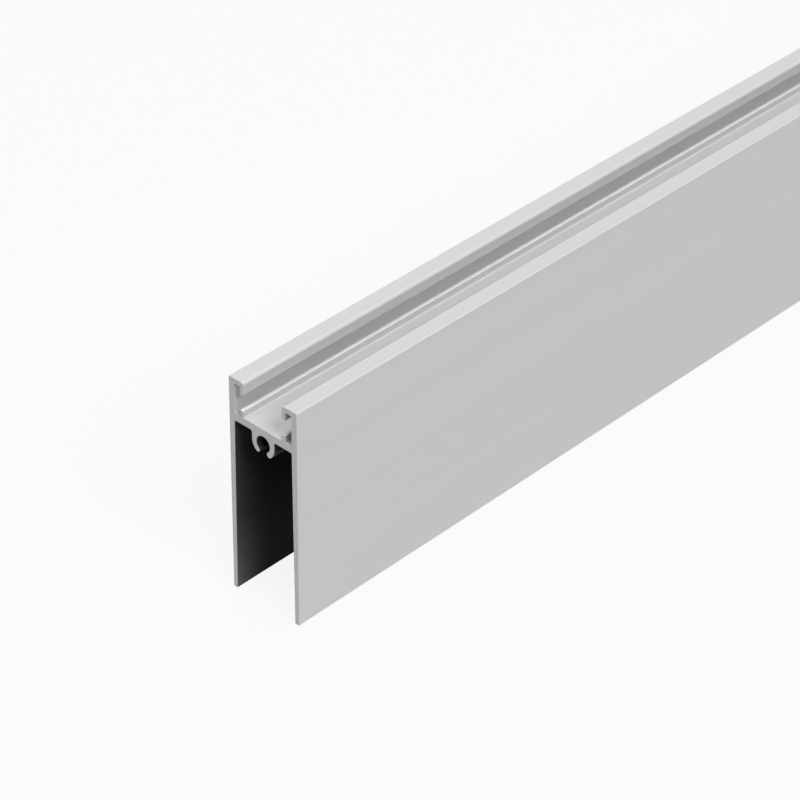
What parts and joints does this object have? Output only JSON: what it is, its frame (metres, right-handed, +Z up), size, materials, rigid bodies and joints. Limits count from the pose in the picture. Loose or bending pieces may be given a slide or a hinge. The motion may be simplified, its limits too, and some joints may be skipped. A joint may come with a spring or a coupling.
{
  "type": "aluminium extrusion profile",
  "caption": "Aluminium extrusion profile of H-shaped section: a hooked clip-in channel on top, a deep chamber open below, and a screw port under the web for end fixings.",
  "frame": {"origin": "middle of the bar's length and width, at the level of the wall feet that it stands on", "axes": "+Y along the bar, +X across it, +Z up out of the channel; the end at -Y is the one seen in the picture"},
  "size_m": [0.02, 1, 0.056],
  "materials": {
    "anodised_aluminium": "matt silver anodised, with fine die lines along the bar; sawn bare ends; inner faces of the chamber black"
  },
  "bodies": {
    "root": {"profile": "anodised_aluminium"}
  },
  "joints": []
}
